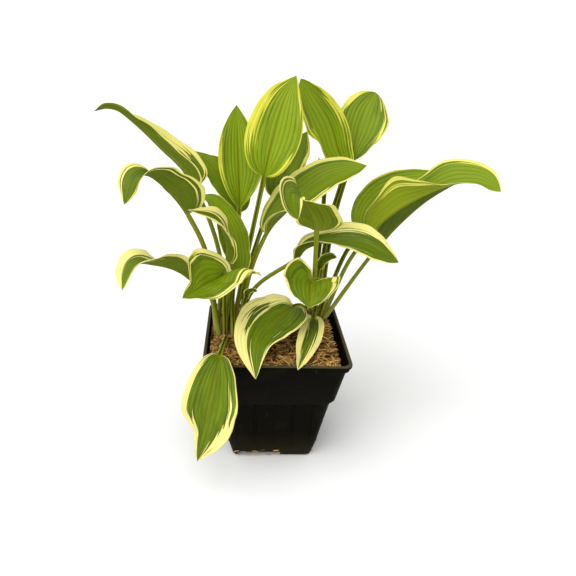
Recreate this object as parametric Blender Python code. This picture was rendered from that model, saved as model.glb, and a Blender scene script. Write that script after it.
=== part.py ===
"""Potted hosta: a square black nursery pot, its potting soil under a mulch of rice hulls, two crowns
with their fleshy roots, and the leaves that rise from them, each stalk and blade grown as one piece.

The origin is the middle of the pot's underside, +Z is up and the pot's front side faces -Y.
"""
import math

import bmesh
import bpy
import numpy as np
from mathutils import Matrix

MM = 0.001

# Driving dimensions, in millimetres
RIM_WIDTH = 114
POT_HEIGHT = 100
FOOT_WIDTH = 68
RIM_DEPTH = 6
RIM_LIP = 3.5
CORNER_RADIUS = 7
STEP_HEIGHT = 58
STEP_RISE = 5
STEP_INSET = 13
SKIRT_INSET = 9.5
FLARE_HEIGHT = 14
FLARE_OUT = 2
LIP_THICKNESS = 2.5
WALL = 1.6
FLOOR = 2.4
GAP = 0.3
RIB_SPACING = 15.5
RIB_WIDTH = 2.4
RIB_PROUD = 0.7
SLOT_WIDTH = 36
SLOT_HEIGHT = 5
SLOT_OFFSET = -11
SLOT_DEPTH = 14
SOIL_TOP = 88
MULCH_LEVEL = 97.5
MOUND_RISE = 8
MOUND_SPREAD = 24
MOUND_PLACE = (-5, 38)
WALL_DIP = 8
CROWN_TOP = 99
CROWN_RADIUS = 11
ROOT_RADIUS = 3
ROOT_TIP_RADIUS = 1
STALK_FOOT_RADIUS = 1.8
STALK_TOP_RADIUS = 1.3
BLADE_THICKNESS = 0.9
BLADE_END_WIDTH = 1.6

CORNER_STEPS = 4
ACROSS = 6
STALK_ROWS = 7
BLADE_ROWS = 9

HALF = RIM_WIDTH / 2
# The clear inside of the pot, half width and height, from the rim down to the floor
INSIDE = (
    (HALF - 2.2, POT_HEIGHT), (HALF - RIM_LIP - WALL, POT_HEIGHT - RIM_DEPTH - 2),
    (HALF - SKIRT_INSET - WALL, STEP_HEIGHT + STEP_RISE + 0.5),
    (HALF - STEP_INSET - WALL, STEP_HEIGHT + 0.5),
    (FOOT_WIDTH / 2 + FLARE_OUT - WALL, FLARE_HEIGHT), (FOOT_WIDTH / 2 - 1 - WALL, FLOOR),
)
# The knob of a crown, radius and height, from its root end to its flat top
KNOB = ((3, 76), (7, 82), (9.5, SOIL_TOP), (CROWN_RADIUS, 94), (CROWN_RADIUS, CROWN_TOP))
ROOT_PATH = ((4, 84), (10, 72), (12, 55), (13, 36))
ROOT_BEARINGS = {"left": (280, 325, 10, 55, 100), "right": (280, 235, 190, 145, 100)}
ROOT_LEAN = {"left": (0.3, 0.0), "right": (-0.28, -0.36)}

CROWNS = {"left": (-40, 3), "right": (36, 33)}
FOOT_HEIGHT = CROWN_TOP + GAP


def leaf(crown, foot, stalk, rib, face, width, **shape):
    """One leaf: the crown it grows from, its foot's ring and bearing there, the points its stalk
    passes, its midrib from stalk to tip, the way its upper side looks along it, and its width.
    shape may hold, each for the left and the right half and from base to tip: sides, their share of
    the width; fold and curl, how steeply they rise from the midrib and bend on, in degrees; and
    lobe, how far they reach back past the stalk. wave is the height of the margins' waves, left and
    right, their number and where they start, and taper how the outline narrows to base and to tip."""
    return dict(crown=crown, foot=foot, stalk=stalk, rib=rib, face=face, width=width, **shape)


LEAVES = {
    # tall leaves of the left crown, from the outside in
    "01": leaf("left", (8.5, 165), [(-46, 9, 160)],
               [(-68, 16, 219), (-95, 25, 246), (-120, 24, 268), (-131, 21, 273), (-140, 18, 270)],
               [(0.45, 0.3, 0.85), (0.4, 0.3, 0.9), (0.1, 0.3, 0.9), (-0.2, 0.7, 0.6)], 44,
               sides=((0.75, 0.35, 0.5, 0.9), (1.0, 0.95, 0.8, 1.0)),
               fold=((60, 50, 10), (60, 45, 10)), taper=(0.6, 1.2)),
    "02": leaf("left", (8.5, 190), [(-55, -4, 163)],
               [(-71, -10, 203), (-91, -22, 230), (-102, -29, 232), (-111, -36, 215)],
               [(0.3, 0.8, 0.5), (0.2, 0.8, 0.55), (-0.4, -0.4, 0.8), (-0.4, -0.9, 0.3)], 42,
               sides=((1.0, 1.1, 0.9, 0.7, 0.7), (0.75, 0.65, 0.4, 1.0, 0.9)),
               fold=((25, 25, 5), (45, 30, 0)), taper=(0.5, 0.8), wave=(2, 0, 1.5, 0.1)),
    "03": leaf("left", (8.5, 100), [(-35, 22, 155)],
               [(-33, 36, 193), (-41, 44, 210), (-55, 50, 226), (-71, 54, 238)],
               [(0.3, -0.8, 0.5), (0.3, -0.8, 0.5)], 28,
               fold=((20, 15, 20), (20, 15, 20)), taper=(0.7, 1.1)),
    "04": leaf("left", (4, 70), [(-34, 16, 160)],
               [(-32, 28, 198), (-33, 36, 228), (-36, 50, 276)],
               [(0.0, -0.9, 0.3), (0.1, -0.9, 0.3)], 35,
               sides=(1.0, (1.1, 1.2, 0.9, 0.85)), fold=((35, 15, 10), (35, 15, 10)), taper=(1.0, 1.0)),
    "05": leaf("left", (4, -20), [(-25, 16, 160)],
               [(-13, 16, 228), (-7, 21, 256), (0, 27, 282), (9, 34, 301)],
               [(-0.1, -0.9, 0.4), (-0.1, -0.9, 0.5)], 44,
               fold=((20, 8, 5), (20, 8, 5)), taper=(0.75, 1.0)),
    "06": leaf("left", (8.5, 70), [(-24, 22, 146)],
               [(-4, 48, 203), (11, 66, 228), (24, 76, 254)],
               [(-0.5, -0.7, 0.5), (-0.5, -0.7, 0.5)], 32,
               sides=(1.0, 1.25), fold=((20, 15, 10), (20, 15, 10)), taper=(0.8, 0.9)),
    "07": leaf("left", (8.5, 5), [(-22, 14, 147)],
               [(-9, 25, 178), (6, 28, 196), (33, 32, 221), (51, 34, 230), (70, 34, 235)],
               [(-0.4, -0.1, 0.9), (-0.3, -0.5, 0.85), (-0.2, -0.7, 0.7)], 42,
               fold=((60, 20, 5), (60, 20, 5)), curl=((10, 10, 5), (10, 0, 0)), taper=(0.75, 0.9)),
    # tall leaves of the right crown
    "08": leaf("right", (4, 80), [(44, 43, 179)],
               [(55, 54, 224), (49, 60, 244), (39, 61, 268), (14, 50, 298)],
               [(-0.2, -0.9, 0.3), (0.1, -0.9, 0.4)], 44,
               sides=((1.0, 1.2, 1.25, 1.5), 0.62), fold=((0, 0, 0), (15, 10, 10)),
               curl=((50, 105, 40, 0), (5, 5, 5)), taper=(0.7, 0.8)),
    "09": leaf("right", (8.5, 45), [(48, 48, 177)],
               [(62, 64, 232), (66, 73, 250), (73, 82, 272), (82, 86, 288)],
               [(-0.2, -0.9, 0.4), (-0.2, -0.9, 0.4)], 44,
               sides=(0.9, 1.1), fold=((15, 5, 5), (15, 5, 5)), taper=(1.0, 0.65)),
    "10": leaf("right", (4, 150), [(38, 44, 165)],
               [(41, 64, 208), (38, 73, 220), (36, 77, 232)],
               [(0, -0.9, 0.4), (0, -0.9, 0.4)], 16,
               fold=((15, 15, 15), (15, 15, 15))),
    "11": leaf("right", (8.5, 232), [(32, 14, 130), (31, 12, 152)],
               [(28, -3, 191), (24, -8, 202), (16, -16, 215), (7, -24, 224), (5, -30, 221),
                (10, -35, 208)],
               [(0.3, 0.6, 0.7), (0.3, 0.3, 0.8), (0.5, -0.5, 0.7), (0.3, -0.9, 0.3)], 40,
               sides=((1.5, 1.2, 0.6, 0.5), (1.5, 1.1, 0.8, 0.9)),
               fold=((20, 20, 10), (10, 10, 10)), curl=((10, 20, 20), (10, 10, 0)),
               taper=(0.55, 0.7), lobe=(0.15, 0.15), wave=(3, 0, 1.2, 0.3)),
    "12": leaf("right", (8.5, 14), [(63, 40, 148)],
               [(80, 37, 177), (92, 33, 193), (108, 27, 208), (131, 19, 223), (153, 10, 230),
                (171, 2, 225)],
               [(-0.5, 0.6, 0.6), (-0.4, 0.5, 0.75), (-0.1, -0.4, 0.9), (0.2, -0.85, 0.5)], 46,
               sides=((1.0, 1.0, 0.7, 1.3, 1.8), (1.3, 1.1, 0.65, 0.55, 0.6)),
               fold=((50, 45, 10), (70, 60, 10)), curl=((10, 10, 5), (60, 10, 0)),
               taper=(0.5, 0.8), lobe=(0.1, 0.0), wave=(0, 3, 2.5, 0.25)),
    "13": leaf("right", (8.5, -16), [(72, 38, 140)],
               [(92, 44, 167), (109, 48, 186), (130, 52, 204), (158, 54, 222)],
               [(-0.4, 0.5, 0.7), (-0.3, 0.5, 0.8)], 32,
               fold=((40, 40, 10), (50, 40, 10))),
    "14": leaf("right", (4, 0), [(60, 47, 151)],
               [(76, 58, 171), (87, 71, 188), (106, 85, 199), (135, 84, 211), (159, 88, 215)],
               [(-0.4, -0.7, 0.6), (-0.2, -0.7, 0.7)], 42,
               fold=((20, 15, 10), (20, 15, 10)), taper=(0.7, 0.8)),
    # low leaves in the middle
    "15": leaf("left", (8.5, 37), [(-18, 18, 132)],
               [(14, 24, 155), (26, 24, 168), (52, 22, 175), (75, 16, 174), (99, 8, 162)],
               [(-0.5, 0.2, 0.8), (-0.1, -0.5, 0.85), (0.2, -0.6, 0.75)], 40,
               sides=(0.85, 1.0), fold=((40, 15, 5), (60, 25, 0)), curl=((0, 0, 0), (0, 10, 0)),
               taper=(1.0, 0.85)),
    "16": leaf("right", (8.5, 287), [(41, 12, 128), (38, 3, 146)],
               [(28, 0, 146), (26, -10, 143), (24, -24, 134)],
               [(-0.05, -0.55, 0.85), (-0.05, -0.75, 0.65)], 50,
               fold=((30, 20, 15), (25, 20, 15)), lobe=(0.35, 0.35), taper=(0.45, 0.9)),
    "17": leaf("right", (8.5, 205), [(24, 18, 116)],
               [(14, 4, 122), (4, -10, 120), (-8, -28, 117), (-16, -46, 112), (-17, -66, 95)],
               [(-0.1, -0.4, 0.9), (-0.1, -0.6, 0.8), (0, -0.8, 0.6)], 44,
               sides=((1.2, 0.8, 0.45), (1.15, 1.2, 1.1)),
               fold=((10, 5, 15), (10, 10, 20)), lobe=(0.02, 0.1), taper=(0.5, 0.85)),
    "18": leaf("right", (8.5, 259), [(34, 18, 110)],
               [(32, 6, 111), (28, -16, 108), (14, -62, 101)],
               [(0, -0.3, 0.95), (0, -0.7, 0.7)], 20,
               fold=((10, 5, 15), (10, 10, 20)), taper=(0.5, 0.8)),
    # low leaves of the left crown
    "19": leaf("left", (8.5, 270), [(-41, -30, 107)],
               [(-44, -58, 109), (-47, -68, 97), (-53, -76, 66), (-59, -80, 32)],
               [(0, -0.9, 0.5), (0, -0.95, 0.3)], 40,
               sides=((0.6, 0.9, 1.1, 1.35, 1.4), (0.85, 0.95, 1.0, 0.45, 0.45)),
               fold=((10, 5, 5), (10, 5, 5)), taper=(0.75, 1.0), wave=(1.5, 1.5, 2.5, 0)),
    "20": leaf("left", (4, 250), [(-42, -9, 131)],
               [(-43, -20, 154), (-51, -31, 157), (-70, -58, 155)],
               [(0.25, -0.75, 0.6), (0.1, -0.75, 0.6)], 50,
               sides=((1.7, 1.0, 0.8, 0.6), (0.8, 1.1, 1.0, 0.45, 0.5)),
               fold=((115, 50, 20, 10), (5, 5, 10)), curl=((25, 10, 10, 10), (10, 10)),
               lobe=(0.12, 0.02), taper=(0.45, 0.9)),
    "21": leaf("left", (8.5, 225), [(-53, -5, 133)],
               [(-68, -2, 146), (-80, -8, 157), (-95, -14, 163), (-108, -20, 164), (-117, -30, 148)],
               [(0.3, 0.7, 0.6), (0.2, 0.6, 0.7), (-0.5, -0.2, 0.85), (-0.8, -0.5, 0.3)], 34,
               sides=(1.0, (0.9, 1.1, 1.8)), fold=((20, 20, 10), (30, 20, 10)), taper=(0.7, 0.8)),
    "22": leaf("left", (4, 180), [(-39, -4, 139)],
               [(-40, -9, 166), (-41, -12, 182), (-49, -18, 201), (-68, -26, 210)],
               [(0.6, 0.2, 0.3), (0.4, -0.2, 0.8), (0.1, -0.4, 0.9)], 24,
               fold=((20, 20, 10), (30, 20, 10))),
    "23": leaf("left", (8.5, 310), [(-36, -1, 130)],
               [(-34, 0, 155), (-38, 3, 171), (-44, 4, 193), (-53, 7, 208), (-63, 10, 211)],
               [(0.5, -0.8, 0.2), (0.4, -0.8, 0.4), (0.3, -0.5, 0.8)], 32,
               sides=((0.5, 0.6, 0.8), 1.0), fold=((20, 15, 10), (20, 15, 10))),
    "24": leaf("right", (4, 270), [(36, 29, 130)],
               [(37, 31, 147), (40, 32, 154), (46, 33, 157), (52, 33, 156)],
               [(0, -0.9, 0.3), (0, -0.9, 0.3)], 14,
               fold=((50, 50, 30), (50, 50, 30))),
    "25": leaf("left", (8.5, 337), [(-28, 0, 118)],
               [(-25, 0, 132), (-21, -1, 137), (-16, -2, 138)],
               [(0.3, -0.6, 0.7), (0.3, -0.6, 0.7)], 8,
               fold=((50, 40, 30), (50, 40, 30))),
}


def clear_scene():
    for thing in list(bpy.data.objects):
        bpy.data.objects.remove(thing, do_unlink=True)


def finish_material(name, colour, roughness):
    """The Principled material of one kind of piece."""
    material = bpy.data.materials.get(name) or bpy.data.materials.new(name)
    material.use_nodes = True
    shader = material.node_tree.nodes["Principled BSDF"]
    shader.inputs["Base Color"].default_value = (*colour, 1)
    shader.inputs["Roughness"].default_value = roughness
    shader.inputs["Metallic"].default_value = 0
    return material


def add_object(name, mesh_builder, material, cutter=False):
    """Turns a bmesh into a named object. A cutter is only there to shape another object."""
    bmesh.ops.recalc_face_normals(mesh_builder, faces=mesh_builder.faces)
    mesh = bpy.data.meshes.new(name)
    mesh_builder.to_mesh(mesh)
    mesh_builder.free()
    mesh.shade_smooth()
    mesh.set_sharp_from_angle(angle=math.radians(35))
    thing = bpy.data.objects.new(name, mesh)
    bpy.context.scene.collection.objects.link(thing)
    if cutter:
        thing.hide_render = True
        thing.display_type = "WIRE"
    else:
        mesh.materials.append(material)
    return thing


def cut(thing, name, operation, cutters):
    """A Boolean modifier that adds or takes away a whole collection of helper shapes."""
    group = bpy.data.collections.new(name)
    bpy.context.scene.collection.children.link(group)
    for cutter in cutters:
        bpy.context.scene.collection.objects.unlink(cutter)
        group.objects.link(cutter)
    modifier = thing.modifiers.new(name, "BOOLEAN")
    modifier.operation = operation
    modifier.operand_type = "COLLECTION"
    modifier.collection = group
    modifier.solver = "EXACT"


def rounded_square(half, height):
    """The corner points of a square ring of the pot with round corners, counter-clockwise."""
    corner = CORNER_RADIUS * half / HALF
    ring = []
    for quarter in range(4):
        turn = quarter * math.pi / 2
        reach = half - corner
        centre = (reach * (math.cos(turn) - math.sin(turn)), reach * (math.sin(turn) + math.cos(turn)))
        for step in range(CORNER_STEPS + 1):
            angle = turn + step / CORNER_STEPS * math.pi / 2
            x = centre[0] + corner * math.cos(angle)
            y = centre[1] + corner * math.sin(angle)
            ring.append((x, y, height))
    return ring


def loft(rings):
    """A closed body through rings of points: the first ring is extruded from one to the next."""
    shape = bmesh.new()
    corners = [shape.verts.new(np.array(point) * MM) for point in rings[0]]
    bottom = shape.faces.new(corners)
    edges = list(bottom.edges)
    for ring in rings[1:]:
        grown = bmesh.ops.extrude_edge_only(shape, edges=edges)["geom"]
        edges = [item for item in grown if isinstance(item, bmesh.types.BMEdge)]
        places = {}
        for number, old in enumerate(corners):
            places[old.co.to_tuple(7)] = number
        moved = [None] * len(ring)
        for item in grown:
            if isinstance(item, bmesh.types.BMVert):
                moved[places[item.co.to_tuple(7)]] = item
        for corner, point in zip(moved, ring):
            corner.co = np.array(point) * MM
        corners = moved
    bmesh.ops.holes_fill(shape, edges=edges, sides=0)
    return shape


def box(size, place, turn=0.0):
    """A block of the given size in millimetres around a place, turned about Z."""
    shape = bmesh.new()
    bmesh.ops.create_cube(shape, size=1)
    bmesh.ops.scale(shape, vec=np.array(size) * MM, verts=shape.verts)
    bmesh.ops.translate(shape, vec=np.array(place) * MM, verts=shape.verts)
    bmesh.ops.rotate(shape, matrix=Matrix.Rotation(turn, 3, "Z"), verts=shape.verts)
    return shape


def smooth_route(points):
    """A Catmull-Rom curve through the points, with the length along it of each point of the curve."""
    knots = np.array(points, float)
    knots = np.vstack([2 * knots[0] - knots[1], knots, 2 * knots[-1] - knots[-2]])
    line = []
    for before, start, end, after in zip(knots, knots[1:], knots[2:], knots[3:]):
        for step in range(12):
            t = step / 12
            bend = 2 * before - 5 * start + 4 * end - after
            swing = 3 * start - before - 3 * end + after
            line.append(0.5 * (2 * start + (end - before) * t + bend * t**2 + swing * t**3))
    line.append(knots[-2])
    line = np.array(line)
    steps = np.linalg.norm(np.diff(line, axis=0), axis=1)
    return line, np.concatenate([[0], np.cumsum(steps)])


def place_on(route, along):
    line, lengths = route
    return np.array([np.interp(along, lengths, line[:, axis]) for axis in range(3)])


def blend(values, share):
    """Runs through values given from base to tip, easing from each to the next."""
    values = np.atleast_1d(np.array(values, float))
    place = share * (len(values) - 1)
    number = min(int(place), max(len(values) - 2, 0))
    if len(values) == 1:
        return values[0]
    part = place - number
    part = part * part * (3 - 2 * part)
    return values[number] * (1 - part) + values[number + 1] * part


def outline(share, base_taper, tip_taper):
    """The blade's half width, as a share of its widest, at a share of its length."""
    widest = base_taper / (base_taper + tip_taper)
    rise = (share / widest) ** base_taper
    fall = ((1 - share) / (1 - widest)) ** tip_taper
    return rise * fall


def facing(route, face, along, junction, start=0.0):
    """The midrib's direction, the blade's normal and its side direction at a length along a leaf."""
    total = route[1][-1]
    reach = 0.03 * (total - junction)
    ahead = place_on(route, min(along + reach, total))
    behind = place_on(route, max(along - reach, start))
    forward = (ahead - behind) / np.linalg.norm(ahead - behind)
    share = min(max((along - junction) / (total - junction), 0), 1) * (len(face) - 1)
    looks = [np.array(look, float) / np.linalg.norm(look) for look in face]
    stops = range(len(looks))
    look = np.array([np.interp(share, stops, [way[axis] for way in looks]) for axis in range(3)])
    normal = look - look.dot(forward) * forward
    normal /= np.linalg.norm(normal)
    return forward, normal, np.cross(forward, normal)


def blade_point(leaf_shape, route, junction, across, share):
    """A point of the blade's middle surface: across runs from -1 to 1, share from base to tip."""
    total = route[1][-1]
    length = total - junction
    side = 0 if across < 0 else 1
    spread = abs(across)
    full = outline(share, *leaf_shape.get("taper", (0.55, 0.95)))
    half = leaf_shape["width"] / 2 * full * blend(leaf_shape.get("sides", (1, 1))[side], share)
    half = max(half, BLADE_END_WIDTH / 2)
    lobe = leaf_shape.get("lobe", (0.1, 0.1))[side] * length * 1.6
    along = junction + length * share - lobe * spread**1.6 * min(full, 1) * (1 - share) ** 2.5
    fold = math.radians(blend(leaf_shape.get("fold", (15, 15))[side], share))
    curl = math.radians(blend(leaf_shape.get("curl", (10, 10))[side], share)) or 1e-3
    out = half * (math.sin(fold + curl * spread) - math.sin(fold)) / curl
    rise = half * (math.cos(fold) - math.cos(fold + curl * spread)) / curl
    waves = leaf_shape.get("wave", (0, 0, 1, 0))
    swing = math.sin(2 * math.pi * (waves[2] * share + waves[3]))
    rise += waves[side] * spread**2 * min(full, 1) * swing
    held = max(along, junction)
    forward, normal, sideways = facing(route, leaf_shape["face"], held, junction, junction)
    sign = -1 if across < 0 else 1
    rib = place_on(route, held) + (along - held) * forward
    return rib + sign * out * sideways + rise * normal, normal, sideways, fold + curl * spread


def leaf_rings(leaf_shape):
    """The rings of a whole leaf, from the stalk's foot to the blade's tip."""
    centre = CROWNS[leaf_shape["crown"]]
    ring, bearing = leaf_shape["foot"]
    bearing = math.radians(bearing)
    foot = (centre[0] + ring * math.cos(bearing), centre[1] + ring * math.sin(bearing), FOOT_HEIGHT)
    route = smooth_route([foot, *leaf_shape["stalk"], *leaf_shape["rib"]])
    junction = route[1][12 * (1 + len(leaf_shape["stalk"]))]
    upper = [step / (ACROSS // 2) - 1 for step in range(ACROSS + 1)]
    lower = upper[-2:0:-1]
    rings = []
    for row in range(STALK_ROWS):
        share = row / STALK_ROWS
        along = share * junction
        forward, normal, sideways = facing(route, leaf_shape["face"], along, junction)
        if row == 0:
            normal = np.cross(sideways, (0, 0, 1))
            normal /= np.linalg.norm(normal)
            sideways = np.cross((0, 0, 1), normal)
        radius = STALK_FOOT_RADIUS + (STALK_TOP_RADIUS - STALK_FOOT_RADIUS) * share
        middle = place_on(route, along)
        points = []
        for number in range(len(upper) + len(lower)):
            turn = math.pi - number / (len(upper) + len(lower)) * 2 * math.pi
            points.append(middle + radius * (math.cos(turn) * sideways + math.sin(turn) * normal))
        rings.append(points)
    for row in range(BLADE_ROWS + 1):
        share = 0.5 - 0.5 * math.cos(row / BLADE_ROWS * math.pi)
        share = 0.35 * row / BLADE_ROWS + 0.65 * share
        points = []
        for face_side, row_points in ((1, upper), (-1, lower)):
            for across in row_points:
                thick = BLADE_THICKNESS / 2 * (1 if abs(across) < 1 else 0)
                thick *= 1 + 0.8 * (1 - abs(across)) * (1 - share)
                point, normal, sideways, slope = blade_point(leaf_shape, route, junction, across, share)
                sign = -1 if across < 0 else 1
                up = math.cos(slope) * normal - sign * math.sin(slope) * sideways
                points.append(point + face_side * thick * up)
        rings.append(points)
    return rings


def add_leaf(name, leaf_shape):
    green = finish_material("hosta_leaf", (0.22, 0.36, 0.04), 0.4)
    add_object(name, loft(leaf_rings(leaf_shape)), green)


def add_pot():
    """The pot's wall with its lip, skirt, step, ribs and drain slots."""
    lip_height = POT_HEIGHT - LIP_THICKNESS
    outside = [
        (FOOT_WIDTH / 2 - 3, 0), (FOOT_WIDTH / 2 - 1, 2),
        (FOOT_WIDTH / 2 + FLARE_OUT, FLARE_HEIGHT),
        (HALF - STEP_INSET, STEP_HEIGHT), (HALF - SKIRT_INSET, STEP_HEIGHT + STEP_RISE),
        (HALF - RIM_LIP, POT_HEIGHT - RIM_DEPTH - 1), (HALF - 1.5, POT_HEIGHT - RIM_DEPTH),
        (HALF - 1, lip_height), (HALF, lip_height), (HALF, POT_HEIGHT),
    ]
    rings = [rounded_square(width, height) for width, height in outside]
    for width, height in INSIDE:
        rings.append(rounded_square(width, height))
    black = finish_material("black_plastic", (0.012, 0.011, 0.008), 0.45)
    pot = add_object("pot", loft(rings), black)
    ribs = []
    slots = []
    for side in range(4):
        turn = side * math.pi / 2
        for number in range(-2, 3):
            ribs.append(add_rib(number * RIB_SPACING, turn, f"rib_{side}_{number + 2}"))
        size = (SLOT_WIDTH, SLOT_DEPTH, 2 * SLOT_HEIGHT)
        slot = box(size, (SLOT_OFFSET, -FOOT_WIDTH / 2, 0), turn)
        slots.append(add_object(f"slot_{side}", slot, None, cutter=True))
    cut(pot, "pot_ribs", "UNION", ribs)
    cut(pot, "pot_slots", "DIFFERENCE", slots)


def add_rib(offset, turn, name):
    """A shallow upright rib on the lower wall, from its inside face to just proud of its outside."""
    low = (FOOT_WIDTH / 2 + FLARE_OUT, FLARE_HEIGHT)
    high = (HALF - STEP_INSET - 0.2, STEP_HEIGHT - 1)
    buried = -WALL / 2
    rings = []
    for width, height in (low, high):
        ring = []
        for side, depth in ((-1, buried), (1, buried), (1, RIB_PROUD), (-1, RIB_PROUD)):
            across = offset + side * RIB_WIDTH / 2
            out = width + depth
            x = across * math.cos(turn) + out * math.sin(turn)
            y = across * math.sin(turn) - out * math.cos(turn)
            ring.append((x, y, height))
        rings.append(ring)
    return add_object(name, loft(rings), None, cutter=True)


def inner_half(height):
    """Half the clear width inside the pot's wall at a height."""
    heights = [level for width, level in reversed(INSIDE)]
    widths = [width for width, level in reversed(INSIDE)]
    return float(np.interp(height, heights, widths))


def heap_height(x, y):
    """The top of the mulch: a low mound behind the middle that drops along the right wall."""
    away = (x - MOUND_PLACE[0]) ** 2 + (y - MOUND_PLACE[1]) ** 2
    mound = MOUND_RISE * math.exp(-away / (2 * MOUND_SPREAD**2))
    dip = WALL_DIP * math.exp(-(((x - HALF + 4) / 8) ** 2))
    ripple = 0.5 * math.sin(x / 5.1 + 0.7) * math.cos(y / 4.3) + 0.4 * math.sin((x + y) / 3.7)
    return MULCH_LEVEL + mound - dip + ripple


def crown_shapes(side, grow):
    """A crown's knob and roots as separate closed bodies, grown outwards by a clearance."""
    centre = CROWNS[side]
    shapes = [turned(centre, [(radius + grow, height) for radius, height in KNOB])]
    lean = ROOT_LEAN[side]
    for number, bearing in enumerate(ROOT_BEARINGS[side]):
        angle = math.radians(bearing)
        points = []
        for reach, height in ROOT_PATH:
            x = centre[0] + reach * math.cos(angle) + lean[0] * (KNOB[0][1] - height)
            y = centre[1] + reach * math.sin(angle) + lean[1] * (KNOB[0][1] - height)
            points.append((x, y, height - 2 * number))
        shapes.append(tube(points, ROOT_RADIUS + grow, ROOT_TIP_RADIUS + grow))
    return shapes


def turned(centre, profile):
    """A body of rings around an upright axis, from the lowest ring to the highest."""
    rings = []
    for radius, height in profile:
        ring = []
        for number in range(12):
            angle = number * math.pi / 6
            x = centre[0] + radius * math.cos(angle)
            y = centre[1] + radius * math.sin(angle)
            ring.append((x, y, height))
        rings.append(ring)
    return loft(rings)


def tube(points, start_radius, end_radius):
    """A tapered tube of flat rings down a falling route."""
    route = smooth_route(points)
    rings = []
    for row in range(6):
        share = row / 5
        middle = place_on(route, share * route[1][-1])
        radius = start_radius + (end_radius - start_radius) * share
        ring = []
        for number in range(6):
            angle = -number * math.pi / 3
            ring.append(middle + radius * np.array((math.cos(angle), math.sin(angle), 0)))
        rings.append(ring)
    return loft(rings)


def add_crown(side):
    flesh = finish_material("crown_flesh", (0.35, 0.24, 0.12), 0.7)
    knob, *roots = crown_shapes(side, 0)
    crown = add_object("crown_" + side, knob, flesh)
    helpers = []
    for number, root in enumerate(roots):
        helpers.append(add_object(f"root_{side}_{number}", root, None, cutter=True))
    cut(crown, f"crown_{side}_roots", "UNION", helpers)


def add_fillings():
    """The soil and the mulch on it, both open where the crowns come through."""
    rings = []
    for height in (FLOOR + GAP, FLARE_HEIGHT, STEP_HEIGHT, STEP_HEIGHT + STEP_RISE + 0.5, SOIL_TOP):
        rings.append(rounded_square(inner_half(height) - GAP, height))
    earth = finish_material("potting_soil", (0.05, 0.035, 0.02), 0.95)
    soil = add_object("potting_soil", loft(rings), earth)
    rings = [rounded_square(inner_half(SOIL_TOP + GAP) - GAP, SOIL_TOP + GAP)]
    for share in (1, 0.86, 0.68, 0.48, 0.27, 0.1):
        ring = []
        half = inner_half(MULCH_LEVEL - WALL_DIP - 1) - GAP
        for x, y, height in rounded_square(half, 0):
            ring.append((x * share, y * share, heap_height(x * share, y * share)))
        rings.append(ring)
    hulls = finish_material("rice_hulls", (0.45, 0.27, 0.11), 0.85)
    mulch = add_object("rice_hull_mulch", loft(rings), hulls)
    in_soil = []
    in_mulch = []
    for side in CROWNS:
        for number, shape in enumerate(crown_shapes(side, GAP)):
            in_soil.append(add_object(f"soil_hollow_{side}_{number}", shape, None, cutter=True))
        radius = CROWN_RADIUS + GAP
        shaft = turned(CROWNS[side], [(radius, SOIL_TOP - 6), (radius, MULCH_LEVEL + 30)])
        in_mulch.append(add_object(f"mulch_hole_{side}", shaft, None, cutter=True))
    cut(soil, "soil_hollows", "DIFFERENCE", in_soil)
    cut(mulch, "mulch_holes", "DIFFERENCE", in_mulch)


def main():
    clear_scene()
    add_pot()
    add_fillings()
    for side in CROWNS:
        add_crown(side)
    for number, leaf_shape in LEAVES.items():
        add_leaf("leaf_" + number, leaf_shape)


main()
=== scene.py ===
import math
import random

import bmesh
import bpy
import numpy as np
from bpy.props import FloatProperty, FloatVectorProperty, IntProperty, PointerProperty
from mathutils import Euler, Matrix, Vector, noise


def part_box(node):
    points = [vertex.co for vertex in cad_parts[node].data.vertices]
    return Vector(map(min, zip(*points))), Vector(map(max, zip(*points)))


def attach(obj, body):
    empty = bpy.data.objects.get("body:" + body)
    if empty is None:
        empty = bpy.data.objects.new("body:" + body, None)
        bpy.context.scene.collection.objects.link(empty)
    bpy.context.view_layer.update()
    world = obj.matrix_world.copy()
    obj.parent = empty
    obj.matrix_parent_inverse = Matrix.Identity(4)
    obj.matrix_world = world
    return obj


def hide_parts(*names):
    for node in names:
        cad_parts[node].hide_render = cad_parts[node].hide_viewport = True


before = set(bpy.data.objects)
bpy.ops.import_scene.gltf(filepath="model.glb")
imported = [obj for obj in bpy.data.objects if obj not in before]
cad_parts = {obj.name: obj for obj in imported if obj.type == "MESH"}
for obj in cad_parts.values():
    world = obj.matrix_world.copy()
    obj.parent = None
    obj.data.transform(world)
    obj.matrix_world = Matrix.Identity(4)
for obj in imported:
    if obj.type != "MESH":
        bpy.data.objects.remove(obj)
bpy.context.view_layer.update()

bl_info = {
    "name": "Potted hosta",
    "version": (1, 0, 0),
    "blender": (4, 5, 0),
    "location": "3D View > Sidebar > Hosta",
    "description": "Builds a variegated hosta in a square nursery pot around its packed frame",
    "category": "Object",
}

MM = 0.001

POT_LOW, POT_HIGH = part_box("pot")
HALF = (POT_HIGH[0] - POT_LOW[0]) / 2 / MM
POT_HEIGHT = POT_HIGH[2] / MM
STEP_HEIGHT = 0.58 * POT_HEIGHT
STEP_RISE = 5
STEP_INSET = 13
SKIRT_INSET = 9.5
FOOT_HALF = HALF - 23
FLARE_HEIGHT = 14
FLARE_OUT = 2
LIP_THICKNESS = 2.5
WALL = 1.6
FLOOR_THICKNESS = 2.4
CORNER_RADIUS = 7
CORNER_STEPS = 10
RIB_SPACING = 15.5
RIB_HALF_WIDTH = 1.2
RIB_CORNERS = ((-1, -0.8), (1, -0.8), (0.7, 0.6), (-0.7, 0.6))
SLOT_SIZE = (36, 14, 10)
SLOT_SHIFT = -11
MULCH_LEVEL = POT_HEIGHT - 2.5
MULCH_FLOOR = 88
MOUND_RISE = 8
MOUND_SPREAD = 24
MOUND_PLACE = (-5, 38)
WALL_DIP = 8
DIP_INSET = 4
DIP_REACH = 8
CLEARANCE = 0.4
CROWN_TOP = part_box("crown_left")[1][2] / MM
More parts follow.
